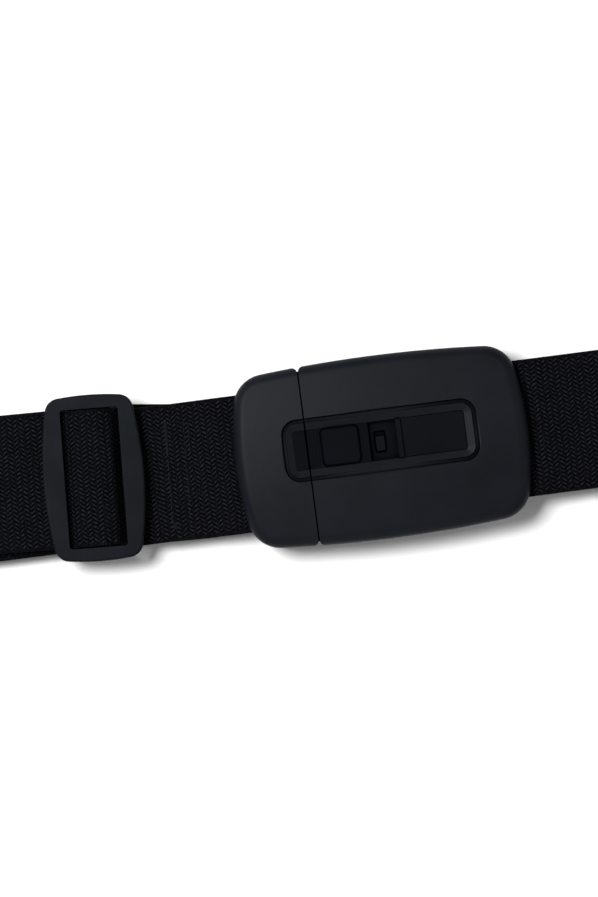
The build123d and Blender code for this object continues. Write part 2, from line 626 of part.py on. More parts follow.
with BuildPart() as latch_arm:
    with BuildSketch(Plane.XZ.offset(-RECESS_Y)):
        with BuildLine():
            Polyline(
                (ARM_ROOT_X, ARM_TOP - ARM_THICKNESS),
                (HOOK_TIP_X, ARM_TOP - ARM_THICKNESS),
                (HOOK_TIP_X, ARM_TOP - 0.5),
                (HOOK_TOP_END_X, CATCH_BOTTOM + CATCH_THICKNESS),
                (HOOK_X, CATCH_BOTTOM + CATCH_THICKNESS),
                (HOOK_X, ARM_TOP),
                (ARM_ROOT_X, ARM_TOP),
                close=True,
            )
        make_face()
    extrude(amount=ARM_WIDTH / 2, both=True)
export(latch_arm.part, "latch_arm")

with BuildPart() as tongue_strap_bar:
    strap_bar(TONGUE_BAR_X)
export(tongue_strap_bar.part, "tongue_strap_bar")

with BuildPart() as tongue_screws:
    screws(TONGUE_SCREWS)
export(tongue_screws.part, "tongue_screws")

# ---------------------------------------------------------------- the adjuster
with BuildPart() as adjuster_frame:
    tilted = Plane.XY.offset(ADJUSTER_BOTTOM).rotated((0, 0, -ADJUSTER_TILT))
    tilted.origin = (ADJUSTER_X, ADJUSTER_Y, ADJUSTER_BOTTOM)
    with BuildSketch(tilted) as adjuster_outline:
        with BuildLine():
            end_x = ADJUSTER_HALF_WIDTH - ADJUSTER_BULGE
            end_y = ADJUSTER_HALF_HEIGHT - 1.2
            ThreePointArc((-end_x, end_y), (0, ADJUSTER_HALF_HEIGHT), (end_x, end_y))
            ThreePointArc((end_x, end_y), (ADJUSTER_HALF_WIDTH, 0), (end_x, -end_y))
            ThreePointArc((end_x, -end_y), (0, -ADJUSTER_HALF_HEIGHT), (-end_x, -end_y))
            ThreePointArc((-end_x, -end_y), (-ADJUSTER_HALF_WIDTH, 0), (-end_x, end_y))
        make_face()
        fillet(adjuster_outline.vertices(), 5.5)
    extrude(amount=ADJUSTER_THICKNESS)
    fillet(adjuster_frame.faces().filter_by(Axis.Z).edges(), 0.8)
    with BuildSketch(tilted):
        RectangleRounded(WINDOW_WIDTH, WINDOW_HEIGHT, 1.0)
    extrude(amount=ADJUSTER_THICKNESS, mode=Mode.SUBTRACT)
    with BuildSketch(tilted.offset(CENTRE_BAR_BOTTOM - ADJUSTER_BOTTOM)):
        Rectangle(CENTRE_BAR_WIDTH, WINDOW_HEIGHT + 4.0)
    extrude(amount=CENTRE_BAR_THICKNESS)
export(adjuster_frame.part, "adjuster_frame")

# ---------------------------------------------------------------- the webbing
FRONT = 7  # the numbers of the two uppermost layers
BACK = 6
BAR_LOOP_LOW = BAR_Z - BAR_THICKNESS / 2 - STRAP_THICKNESS / 2 - CLEARANCE
BAR_LOOP_HIGH = BAR_Z + BAR_THICKNESS / 2 + STRAP_THICKNESS / 2 + CLEARANCE
BAR_LOOP_RADIUS = (BAR_LOOP_HIGH - BAR_LOOP_LOW) / 2 - 0.05
MOUTH_BACK = BUCKLE_REAR + 2.6
MOUTH_FRONT = MOUTH_BACK + STRAP_THICKNESS + CLEARANCE
BEND_RADIUS = 3.0


def bar_loop(bar_x, side, front_route, back_route):
    """The webbing round a strap bar, on its side 1 or -1, with its front and back routes."""
    turn_x = bar_x + side * (BAR_WIDTH / 2 + STRAP_THICKNESS / 2 + CLEARANCE)
    route = [
        *front_route,
        (bar_x - side * BAR_WIDTH / 2, BAR_LOOP_HIGH),
        (turn_x, BAR_LOOP_HIGH),
        (turn_x, BAR_LOOP_LOW),
        (bar_x - side * BAR_WIDTH / 2, BAR_LOOP_LOW),
        *back_route,
    ]
    radii = [BEND_RADIUS] * len(front_route)
    radii += [BAR_LOOP_RADIUS] * 2
    radii += [BEND_RADIUS] * len(back_route)
    FilletPolyline(*route, radius=radii)


with BuildPart() as strap_front_layer:
    with BuildSketch(Plane.XZ):
        with BuildLine():
            bar_loop(
                RECEIVER_BAR_X,
                -1,
                [
                    (RIGHT_FOLD_X, layer_z(FRONT)),
                    (103.0, layer_z(FRONT)),
                    (88.0, MOUTH_FRONT),
                    (77.0, MOUTH_FRONT),
                ],
                [(77.0, MOUTH_BACK), (81.0, MOUTH_BACK)],
            )
            fold(RIGHT_FOLD_X, 4, FRONT, 1)
            run(RIGHT_FOLD_X, INNER_FOLD_X, 4)
            fold(INNER_FOLD_X, 3, 4, -1)
            run(INNER_FOLD_X, RIGHT_FOLD_X, 3)
            fold(RIGHT_FOLD_X, 0, 3, 1)
            run(RIGHT_FOLD_X, LEFT_FOLD_X + LEFT_FOLD_GAP, 0)
        trace(line_width=STRAP_THICKNESS)
    extrude(amount=STRAP_WIDTH / 2, both=True)
export(strap_front_layer.part, "strap_front_layer")

with BuildPart() as strap_back_layer:
    with BuildSketch(Plane.XZ):
        with BuildLine():
            FilletPolyline(
                (81.2, MOUTH_BACK),
                (87.0, MOUTH_BACK),
                (101.0, layer_z(BACK)),
                (RIGHT_FOLD_X, layer_z(BACK)),
                radius=BEND_RADIUS,
            )
            fold(RIGHT_FOLD_X, 5, BACK, 1)
            run(RIGHT_FOLD_X, INNER_FOLD_X, 5)
            fold(INNER_FOLD_X, 2, 5, -1)
            run(INNER_FOLD_X, RIGHT_FOLD_X, 2)
            fold(RIGHT_FOLD_X, 1, 2, 1)
            run(RIGHT_FOLD_X, LEFT_FOLD_X + LEFT_FOLD_GAP, 1)
        trace(line_width=STRAP_THICKNESS)
    extrude(amount=STRAP_WIDTH / 2, both=True)
export(strap_back_layer.part, "strap_back_layer")

with BuildPart() as strap_tongue_end:
    with BuildSketch(Plane.XZ.offset(-0.5)):
        with BuildLine():
            tail_z = layer_z(BACK) + STRAP_THICKNESS + CLEARANCE
            bar_loop(
                TONGUE_BAR_X,
                1,
                [(TAIL_END_X, tail_z), (-38.0, tail_z), (-26.0, MOUTH_FRONT), (-18.0, MOUTH_FRONT)],
                [(-19.0, MOUTH_BACK), (-25.0, MOUTH_BACK), (-37.0, layer_z(BACK)), (-60.0, layer_z(BACK))],
            )
        trace(line_width=STRAP_THICKNESS)
    extrude(amount=STRAP_WIDTH / 2, both=True)
export(strap_tongue_end.part, "strap_tongue_end")

# On the left run the routes are in the tilted plane, whose x counts from the adjuster's middle.
UNDER_ADJUSTER = ADJUSTER_BOTTOM - 0.3 - STRAP_THICKNESS / 2
HUMP = 16.2
BAR_TOP_LAYER = CENTRE_BAR_BOTTOM + CENTRE_BAR_THICKNESS + STRAP_THICKNESS / 2 + CLEARANCE
BAR_LOW_LAYER = CENTRE_BAR_BOTTOM - STRAP_THICKNESS / 2 - CLEARANCE

with BuildPart() as strap_over_bar:
    with BuildSketch(LEFT_RUN):
        with BuildLine():
            FilletPolyline(
                (-19.5, UNDER_ADJUSTER),
                (-9.8, UNDER_ADJUSTER),
                (-5.4, HUMP),
                (4.6, HUMP),
                (9.9, layer_z(BACK)),
                (13.6, layer_z(BACK)),
                radius=[1.5, 1.5, 1.5, 1.5],
            )
        trace(line_width=STRAP_THICKNESS)
    extrude(amount=STRAP_WIDTH / 2, both=True)
export(strap_over_bar.part, "strap_over_bar")

with BuildPart() as strap_adjuster_end:
    with BuildSketch(LEFT_RUN):
        with BuildLine():
            upper = layer_z(BACK) + STRAP_THICKNESS + CLEARANCE
            radius = (BAR_TOP_LAYER - BAR_LOW_LAYER) / 2
            lead = FilletPolyline(
                (-38.0, upper),
                (-9.0, upper),
                (-4.2, BAR_TOP_LAYER),
                (3.0, BAR_TOP_LAYER),
                radius=1.2,
            )
            turn = ThreePointArc(
                lead @ 1,
                (3.0 + radius, BAR_LOW_LAYER + radius),
                (3.0, BAR_LOW_LAYER),
            )
            FilletPolyline(
                turn @ 1,
                (-3.8, BAR_LOW_LAYER),
                (-7.0, layer_z(BACK)),
                (-36.0, layer_z(BACK)),
                radius=1.2,
            )
        trace(line_width=STRAP_THICKNESS)
    extrude(amount=STRAP_WIDTH / 2, both=True)
export(strap_adjuster_end.part, "strap_adjuster_end")

LEFT_FOLD_LOCAL = LEFT_FOLD_X - ADJUSTER_X

with BuildPart() as strap_left_front:
    with BuildSketch(LEFT_RUN):
        with BuildLine():
            FilletPolyline(
                (-19.7, UNDER_ADJUSTER),
                (-42.0, UNDER_ADJUSTER),
                (-52.0, layer_z(FRONT)),
                (LEFT_FOLD_LOCAL, layer_z(FRONT)),
                radius=BEND_RADIUS,
            )
            fold(LEFT_FOLD_LOCAL, 0, FRONT, -1)
        trace(line_width=STRAP_THICKNESS)
    extrude(amount=STRAP_WIDTH / 2, both=True)
export(strap_left_front.part, "strap_left_front")

with BuildPart() as strap_left_back:
    with BuildSketch(LEFT_RUN):
        with BuildLine():
            FilletPolyline(
                (-38.2, upper),
                (-40.5, upper),
                (-48.0, layer_z(BACK)),
                (LEFT_FOLD_LOCAL, layer_z(BACK)),
                radius=BEND_RADIUS,
            )
            fold(LEFT_FOLD_LOCAL, 1, BACK, -1)
        trace(line_width=STRAP_THICKNESS)
    extrude(amount=STRAP_WIDTH / 2, both=True)
export(strap_left_back.part, "strap_left_back")


def stitch_rows(plane, rows, width):
    """Rows of short stitches across the webbing, lying on its upper side."""
    count = int((STRAP_WIDTH - 9.0) / STITCH_PITCH)
    with BuildSketch(plane) as stitches:
        for row_x in rows:
            with Locations((row_x, 0)):
                with GridLocations(1.0, STITCH_PITCH, 1, count):
                    RectangleRounded(width, STITCH_LENGTH, width / 2 - 0.05)
    extrude(stitches.sketch, amount=STITCH_HEIGHT)


with BuildPart() as tongue_stitching:
    tail_top = tail_z + STRAP_THICKNESS / 2
    stitch_rows(Plane.XY.offset(tail_top).move(Location((0, 0.5, 0))), (-48.2, -41.6), 0.7)
export(tongue_stitching.part, "tongue_stitching")

with BuildPart() as adjuster_stitching:
    sewn_plane = Plane.XY.rotated((0, 0, -ADJUSTER_TILT))
    sewn_plane.origin = (ADJUSTER_X, ADJUSTER_Y, upper + STRAP_THICKNESS / 2)
    stitch_rows(sewn_plane, (-22.0, -31.0), 0.7)
export(adjuster_stitching.part, "adjuster_stitching")
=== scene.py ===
"""The looks of the luggage strap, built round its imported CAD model.

Sizes are in millimetres until a mesh is made.
"""

import math

import bmesh
import bpy
import numpy as np
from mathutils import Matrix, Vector


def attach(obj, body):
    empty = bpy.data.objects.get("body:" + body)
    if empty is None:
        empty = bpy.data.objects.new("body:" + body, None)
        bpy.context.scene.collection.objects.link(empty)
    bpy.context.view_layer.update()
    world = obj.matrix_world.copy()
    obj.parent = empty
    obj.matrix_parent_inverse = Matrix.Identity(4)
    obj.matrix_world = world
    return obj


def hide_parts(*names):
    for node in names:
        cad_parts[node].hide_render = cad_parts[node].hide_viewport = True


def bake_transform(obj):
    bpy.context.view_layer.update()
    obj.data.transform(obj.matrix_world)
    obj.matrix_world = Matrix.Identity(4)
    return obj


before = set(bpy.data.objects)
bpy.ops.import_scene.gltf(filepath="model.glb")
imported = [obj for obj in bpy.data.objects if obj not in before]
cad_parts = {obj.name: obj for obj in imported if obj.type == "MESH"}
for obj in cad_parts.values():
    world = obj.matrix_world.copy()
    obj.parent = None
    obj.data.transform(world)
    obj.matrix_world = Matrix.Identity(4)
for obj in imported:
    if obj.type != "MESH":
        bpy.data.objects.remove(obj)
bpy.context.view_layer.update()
MM = 0.001

# ---------------------------------------------------------------- sizes, as in the CAD
STRAP_WIDTH = 50.0
STRAP_THICKNESS = 1.2
LAYER_PITCH = 1.5
RIGHT_FOLD_X = 135.2
LEFT_FOLD_X = -131.0
LEFT_FOLD_END_X = -129.0  # where the outer left folds meet the two lowest layers
INNER_FOLD_X = -128.5
SOFT_BEND = 3.0  # the radius of the webbing's gentle bends
BAR_BEND = 1.65  # round a strap bar, from one level of the mouth to the other
MOUTH_FRONT = 12.9  # the webbing's two levels in the mouths of the buckle
MOUTH_BACK = 11.6
BAR_LOOP_FRONT = 15.7
BAR_LOOP_BACK = 12.3
TONGUE_Y = 0.5
ADJUSTER = (-75.4, 2.3)
ADJUSTER_TILT = math.radians(3.0)
ADJUSTER_TRAVEL_PLANE = 12.0  # from the adjuster's middle along the left run, where blend_start lies
LEFT_BLEND_END = 57.0  # and where blend_end lies

# ---------------------------------------------------------------- the weave
COLUMN = 2.18  # a column of slanting yarns runs across the strap, and the next one slants back
ROW = 1.59
SLANT = 0.95
JOIN_HEIGHT = 0.66  # of the yarns where two columns meet, as a share of their full height
SELVEDGE = 1.3
RELIEF = 0.16


class Field:
    """A number worked out by a material's nodes, so that its formula can be written out plainly."""

    def __init__(self, tree, socket):
        self.tree = tree
        self.socket = socket

    def math(self, operation, *others, clamp=False):
        node = self.tree.nodes.new("ShaderNodeMath")
        node.operation = operation
        node.use_clamp = clamp
        for slot, value in zip(node.inputs, (self, *others)):
            if isinstance(value, Field):
                self.tree.links.new(value.socket, slot)
            else:
                slot.default_value = value
        return Field(self.tree, node.outputs[0])

    def __add__(self, other):
        return self.math("ADD", other)

    def __sub__(self, other):
        return self.math("SUBTRACT", other)

    def __rsub__(self, other):
        return self.math("MULTIPLY", -1.0) + other

    def __mul__(self, other):
        return self.math("MULTIPLY", other)

    def __truediv__(self, other):
        return self.math("DIVIDE", other)

    def __pow__(self, other):
        return self.math("POWER", other)

    def __abs__(self):
        return self.math("ABSOLUTE")

    __radd__ = __add__
    __rmul__ = __mul__


def whole(value):
    """The whole number below a value, which is an array of numbers or a Field."""
    return value.math("FLOOR") if isinstance(value, Field) else np.floor(value)


def rest(value):
    """What is left of a value above the whole number below it."""
    return value - whole(value)


def limited(value):
    """A value kept between 0 and 1."""
    return value.math("ADD", 0.0, clamp=True) if isinstance(value, Field) else np.clip(value, 0, 1)


def herringbone(along, across):
    """How high the yarns stand, from 0 to 1, for arrays of places in mm or for a material's Fields."""
    column = along / COLUMN
    lean = 1.0 - 2.0 * (whole(column) - 2.0 * whole(column / 2.0))
    place = rest(column) - 0.5
    phase = across / ROW + lean * (place * SLANT + 0.25)
    ridge = 1.0 - abs(2.0 * rest(phase) - 1.0) ** 2.0
    join = limited((abs(2.0 * place) - 0.35) * 1.9)
    yarns = ridge * (1.0 - join) + join * JOIN_HEIGHT
    edge = limited((abs(across) - (STRAP_WIDTH / 2 - SELVEDGE)) * 4.0)
    rib = 1.0 - abs(2.0 * rest(along / (COLUMN / 3.0)) - 1.0) ** 2.0
    return yarns * (1.0 - edge) + edge * (0.45 + 0.3 * rib)


# ---------------------------------------------------------------- materials
CREVICE = 3.0  # how near another surface must be for painted shade to darken a moulded one


def new_material(name):
    """An empty node material, its Principled shader and its nodes."""
    material = bpy.data.materials.new(name)
    material.use_nodes = True
    tree = material.node_tree
    return material, tree, tree.nodes["Principled BSDF"]


def linked(tree, kind, inputs=None, **settings):
    """A new node with its settings, and with its inputs set or linked."""
    node = tree.nodes.new(kind)
    for key, value in settings.items():
        setattr(node, key, value)
    for key, value in (inputs or {}).items():
        if isinstance(value, Field):
            tree.links.new(value.socket, node.inputs[key])
        elif isinstance(value, bpy.types.NodeSocket):
            tree.links.new(value, node.inputs[key])
        else:
            node.inputs[key].default_value = value
    return node


def noise(tree, vector, scale, detail=2.0, roughness=0.5):
    """A noise Field from 0 to 1."""
    inputs = {"Scale": scale, "Detail": detail, "Roughness": roughness, "Vector": vector}
    return Field(tree, linked(tree, "ShaderNodeTexNoise", inputs).outputs[0])


def colours(tree, factor, stops):
    """A colour ramp over a Field. Each stop is a place from 0 to 1 and a colour."""
    ramp = linked(tree, "ShaderNodeValToRGB", {0: factor})
    elements = ramp.color_ramp.elements
    while len(elements) < len(stops):
        elements.new(0.5)
    for element, (place, colour) in zip(elements, stops):
        element.position = place
        element.color = (*colour, 1.0)
    return ramp.outputs["Color"]


def shade(colour, factor):
    """A colour made lighter or darker."""
    return tuple(channel * factor for channel in colour)


def fabric_material(name, colour, gap_shade):
    """Herringbone webbing, whose pattern follows the strap's own length and width.

    Its colour is painted near black in the gaps between yarns as shade, and lighter on the yarn tops as
    a highlight.
    """
    material, tree, shader = new_material(name)
    uv = linked(tree, "ShaderNodeUVMap", uv_map="Weave").outputs[0]
    parts = linked(tree, "ShaderNodeSeparateXYZ", {0: uv}).outputs
    along = Field(tree, parts[0])
    across = Field(tree, parts[1])
    wander = noise(tree, uv, 0.16, 2.0)
    along = along + (wander - 0.5) * 0.9
    height = herringbone(along, across)
    fibres = noise(tree, uv, 5.5, 3.0, 0.7)
    patches = noise(tree, uv, 0.11, 2.0)
    yarn_patches = noise(tree, uv, 1.5, 1.0, 0.6)
    worn = (3.4 * yarn_patches - 0.85) * (0.72 + 0.56 * patches)
    # painted shade and highlight: the higher a yarn stands the lighter it is painted, in random patches
    lit_yarn_tops = limited((height - 0.25) * 1.33) ** 2.1 * worn
    lightness = lit_yarn_tops + (fibres - 0.5) * 0.5
    stops = [(0.08, gap_shade), (0.5, shade(colour, 0.6)), (1.0, shade(colour, 1.6))]
    tree.links.new(colours(tree, limited(lightness), stops), shader.inputs["Base Color"])
    relief = height * 0.8 + fibres * 0.35
    bump = linked(tree, "ShaderNodeBump", {"Height": relief, "Distance": 0.32 * MM, "Strength": 1.0})
    tree.links.new(bump.outputs[0], shader.inputs["Normal"])
    tree.links.new((0.62 + 0.3 * fibres).socket, shader.inputs["Roughness"])
    shader.inputs["Specular IOR Level"].default_value = 0.03
    return material


def moulded_material(
    name, colour, roughness, grain, depth, specular, edge_highlight=1.35, bevel=0.15, shaded=0.9
):
    """Moulded plastic: a fine grain, faint cloudiness, edges painted lighter as a highlight and made a
    little glossier, and painted shade that darkens the colour and the specular in crevices.

    grain is the noise's scale and depth its relief, rubbed says how much lighter the painted edge
    highlight makes an edge, bevel is the radius over which an edge counts as one, and shaded is how
    strongly the painted shade darkens crevices.
    """
    material, tree, shader = new_material(name)
    where = linked(tree, "ShaderNodeTexCoord").outputs["Object"]
    cloud = noise(tree, where, 55.0, 3.0)
    dust = noise(tree, where, 2600.0, 1.0)
    fine = noise(tree, where, grain, 2.0, 0.6)
    cells = linked(tree, "ShaderNodeTexVoronoi", {"Scale": grain * 0.7, "Vector": where})
    rounded = linked(tree, "ShaderNodeBevel", {"Radius": bevel * MM}, samples=6)
    flat = linked(tree, "ShaderNodeNewGeometry").outputs["Normal"]
    facing = linked(tree, "ShaderNodeVectorMath", {0: rounded.outputs[0], 1: flat}, operation="DOT_PRODUCT")
    # painted highlight: edges found by the bevel are painted lighter, and below they are made a little
    # glossier
    edge = limited((1.0 - Field(tree, facing.outputs["Value"])) * 5.0) * (0.5 + cloud)
    mottling_and_edge_highlight = 0.5 + (cloud - 0.5) * 0.6 + (dust - 0.5) * 0.35 + edge * 0.5
    # painted shade: ambient occlusion darkens the colour and dims the specular in crevices, grooves and
    # seams
    occlusion = linked(tree, "ShaderNodeAmbientOcclusion", {"Distance": CREVICE * MM}, samples=12)
    painted_shade_factor = limited(Field(tree, occlusion.outputs["AO"]) * (1.0 + shaded) - (shaded - 0.05))
    # the darkest stop is the colour of the painted crevice shade, the top stop that of the painted edge
    # highlight
    dark_stops = [(0.0, shade(colour, 0.05)), (0.36, shade(colour, 0.82))]
    stops = [*dark_stops, (0.5, colour), (1.0, shade(colour, edge_highlight))]
    tree.links.new(colours(tree, limited(mottling_and_edge_highlight * painted_shade_factor), stops), shader.inputs["Base Color"])
    glossy = roughness + (cloud - 0.5) * 0.08 + (fine - 0.5) * 0.1 - edge * 0.1
    tree.links.new(glossy.socket, shader.inputs["Roughness"])
    height = fine * 0.6 + Field(tree, cells.outputs["Distance"]) * 0.5
    inputs = {"Height": height, "Distance": depth * MM, "Strength": 0.6, "Normal": rounded.outputs[0]}
    tree.links.new(linked(tree, "ShaderNodeBump", inputs).outputs[0], shader.inputs["Normal"])
    tree.links.new((painted_shade_factor * specular).socket, shader.inputs["Specular IOR Level"])
    return material


def metal_material(name, colour, roughness, stretch):
    """Plated steel with fine brush lines along one axis, a little stained."""
    material, tree, shader = new_material(name)
    where = linked(tree, "ShaderNodeTexCoord").outputs["Object"]
    mapping = linked(tree, "ShaderNodeMapping", {"Vector": where, "Scale": stretch}).outputs[0]
    lines = noise(tree, mapping, 900.0, 3.0, 0.7)
    stains = noise(tree, where, 160.0, 3.0)
    tone = limited(0.5 + (lines - 0.5) * 0.5 + (stains - 0.5) * 0.7)
    stops = [(0.0, shade(colour, 0.6)), (0.5, colour), (1.0, shade(colour, 1.2))]
    tree.links.new(colours(tree, tone, stops), shader.inputs["Base Color"])
    glossy = roughness + (lines - 0.5) * 0.18 + (stains - 0.5) * 0.2
    tree.links.new(glossy.socket, shader.inputs["Roughness"])
    bump = linked(tree, "ShaderNodeBump", {"Height": lines, "Distance": 0.02 * MM, "Strength": 0.5})
    tree.links.new(bump.outputs[0], shader.inputs["Normal"])
    shader.inputs["Metallic"].default_value = 1.0
    return material


def thread_material(name, colour):
    """Twisted sewing thread: the twist runs slantwise round each stitch."""
    material, tree, shader = new_material(name)
    uv = linked(tree, "ShaderNodeUVMap", uv_map="Weave").outputs[0]
    parts = linked(tree, "ShaderNodeSeparateXYZ", {0: uv}).outputs
    twist = rest(Field(tree, parts[0]) * 2.6 + Field(tree, parts[1]))
    ply = 1.0 - abs(2.0 * twist - 1.0) ** 2.0
    fluff = noise(tree, uv, 9.0, 2.0)
    # painted shade: the grooves between the plies are painted darker, with random fluff on top
    tone = limited(ply * 0.75 + (fluff - 0.4) * 0.5)
    stops = [(0.0, shade(colour, 0.35)), (1.0, shade(colour, 1.15))]
    tree.links.new(colours(tree, tone, stops), shader.inputs["Base Color"])
    inputs = {"Height": ply + fluff * 0.3, "Distance": 0.06 * MM, "Strength": 1.0}
    bump = linked(tree, "ShaderNodeBump", inputs)
    tree.links.new(bump.outputs[0], shader.inputs["Normal"])
    tree.links.new((0.6 + 0.2 * fluff).socket, shader.inputs["Roughness"])
    shader.inputs["Specular IOR Level"].default_value = 0.08
    return material


# the near-black colour is painted shade for the gaps between the yarns
WEBBING = fabric_material("webbing", (0.0092, 0.0097, 0.0130), (0.0, 0.0, 0.0001))
THREAD = thread_material("thread", (0.0115, 0.0122, 0.0150))
# the number after the specular level sets how much lighter the painted edge highlight makes an edge
SHELL = moulded_material("soft_touch_shell", (0.0064, 0.0069, 0.0098), 0.5, 2400.0, 0.035, 0.07, 1.5)
INLAY = moulded_material("satin_inlay", (0.0024, 0.0026, 0.0042), 0.48, 3600.0, 0.012, 0.02, shaded=0.15)
BUTTON = moulded_material("satin_button", (0.0026, 0.0029, 0.0046), 0.48, 3200.0, 0.015, 0.02)
COVER = moulded_material("satin_cover", (0.0032, 0.0035, 0.0054), 0.48, 3600.0, 0.012, 0.025)
TAB = moulded_material("satin_tab", (0.0034, 0.0037, 0.0056), 0.48, 3200.0, 0.015, 0.03)
# the adjuster's edges get a strong painted highlight and its crevices a weaker painted shade
ADJUSTER_PLASTIC = moulded_material(
    "adjuster_plastic", (0.0060, 0.0065, 0.0089), 0.5, 2800.0, 0.025, 0.035, 2.6, 0.3
)
ACETAL = moulded_material("acetal", (0.012, 0.012, 0.013), 0.32, 4200.0, 0.008, 0.45)
STEEL = metal_material("plated_steel", (0.46, 0.46, 0.47), 0.34, (8.0, 0.4, 8.0))
SPRING_STEEL = metal_material("spring_steel", (0.52, 0.52, 0.53), 0.26, (4.0, 4.0, 4.0))

CAD_LOOKS = {
    "receiver_rear_shell": SHELL,
    "receiver_front_shell": SHELL,
    "tongue_rear_shell": SHELL,
    "tongue_front_shell": SHELL,
    "receiver_inlay": INLAY,
    "tongue_inlay": INLAY,
    "release_button": BUTTON,
    "lock_cover": COVER,
    "lock_slider": TAB,
    "adjuster_frame": ADJUSTER_PLASTIC,
    "tongue_plate": ACETAL,
    "latch_arm": ACETAL,
    "catch_plate": STEEL,
    "receiver_strap_bar": STEEL,
    "tongue_strap_bar": STEEL,
    "receiver_screws": STEEL,
    "tongue_screws": STEEL,
    "button_springs": SPRING_STEEL,
    "lock_detent_spring": SPRING_STEEL,
}
for node_name, look in CAD_LOOKS.items():
    for material_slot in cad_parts[node_name].material_slots:
        material_slot.material = look


# ---------------------------------------------------------------- webbing as a woven strip
def rounded_route(corners, radii):
    """The points of a route in x and z, with an arc of the given radius at each inner corner."""
    corners = [np.array(c, float) for c in corners]
    if not isinstance(radii, list):
        radii = [radii] * (len(corners) - 2)
    points = [corners[0]]
    for before, corner, after, radius in zip(corners, corners[1:], corners[2:], radii):
        back = (before - corner) / np.linalg.norm(before - corner)
        ahead = (after - corner) / np.linalg.norm(after - corner)
        half = math.acos(np.clip(back @ ahead, -1, 1)) / 2
        if half > math.pi / 2 - 1e-4:
            continue
        start = corner + back * radius / math.tan(half)
        middle = corner + (back + ahead) / np.linalg.norm(back + ahead) * radius / math.sin(half)
        end = corner + ahead * radius / math.tan(half)
        for share in np.linspace(0, 1, 13):
            spoke = (start - middle) * (1 - share) + (end - middle) * share
            points.append(middle + spoke / np.linalg.norm(spoke) * radius)
    points.append(corners[-1])
    return np.array(points)


def even_points(points, step):
    """The same route with points at even steps, and how far along each one lies."""
    lengths = np.r_[0, np.cumsum(np.linalg.norm(np.diff(points, axis=0), axis=1))]
    count = max(3, int(round(lengths[-1] / step)) + 1)
    along = np.linspace(0, lengths[-1], count)
    return np.stack([np.interp(along, lengths, points[:, i]) for i in (0, 1)], axis=1), along


def strip_section(columns):
    """The strip's cross-section as (across, up) points in a ring, with rounded selvedges."""
    half = STRAP_WIDTH / 2
    rise = STRAP_THICKNESS / 2
    soft = 0.5
    flat = np.linspace(-half + soft, half - soft, columns)
    corner = np.linspace(0, math.pi, 7)[1:-1]
    right = [(half - soft + soft * math.sin(a), rise * math.cos(a)) for a in corner]
    left = [(-half + soft - soft * math.sin(a), -rise * math.cos(a)) for a in corner]
    top = [(t, rise) for t in flat]
    bottom = [(t, -rise) for t in flat[::-1]]
    return np.array(top + right + bottom + left)


def mesh_object(name, vertices, faces, uvs, material):
    """A smooth closed mesh in metres, its faces outwards, with the weave's place in mm as UV map."""
    mesh = bpy.data.meshes.new(name)
    mesh.from_pydata((vertices * MM).tolist(), [], faces)
    shape = bmesh.new()
    shape.from_mesh(mesh)
    if shape.calc_volume(signed=True) < 0:
        mesh.flip_normals()
    shape.free()
    layer = mesh.uv_layers.new(name="Weave")
    corner_vertex = np.zeros(len(mesh.loops), np.int32)
    mesh.loops.foreach_get("vertex_index", corner_vertex)
    layer.data.foreach_set("uv", uvs[corner_vertex].astype(np.float32).ravel())
    mesh.polygons.foreach_set("use_smooth", [True] * len(mesh.polygons))
    mesh.materials.append(material)
    mesh.update()
    piece = bpy.data.objects.new(name, mesh)
    bpy.context.scene.collection.objects.link(piece)
    return piece


def straight(x, across):
    """Where a place on the buckle's axis lies: x and y."""
    return x, across


DRIFT_START_X = -35.0  # where the layers below the left run begin to move aside
DRIFT_LENGTH = 37.0


def following(aside, lean):
    """A layer below the left run: it moves aside towards the adjuster, and leans from there on."""

    def place(x, across):
        share = np.clip((DRIFT_START_X - x) / DRIFT_LENGTH, 0, 1)
        moved = share**2 * (3 - 2 * share) * aside
        return x, across + moved + lean * np.maximum(ADJUSTER[0] - x, 0)

    return place


def tilted(x, across):
    """Where a place on the left run lies, whose x counts from the adjuster's middle."""
    cosine = math.cos(ADJUSTER_TILT)
    sine = math.sin(ADJUSTER_TILT)
    return ADJUSTER[0] + x * cosine + across * sine, ADJUSTER[1] - x * sine + across * cosine


def tongue_line(x, across):
    """The webbing at the tongue, which lies a little off the buckle's axis."""
    return x, across + TONGUE_Y


CUT_FADE = 12.0  # how far from a slanting cut the weave's slant dies away


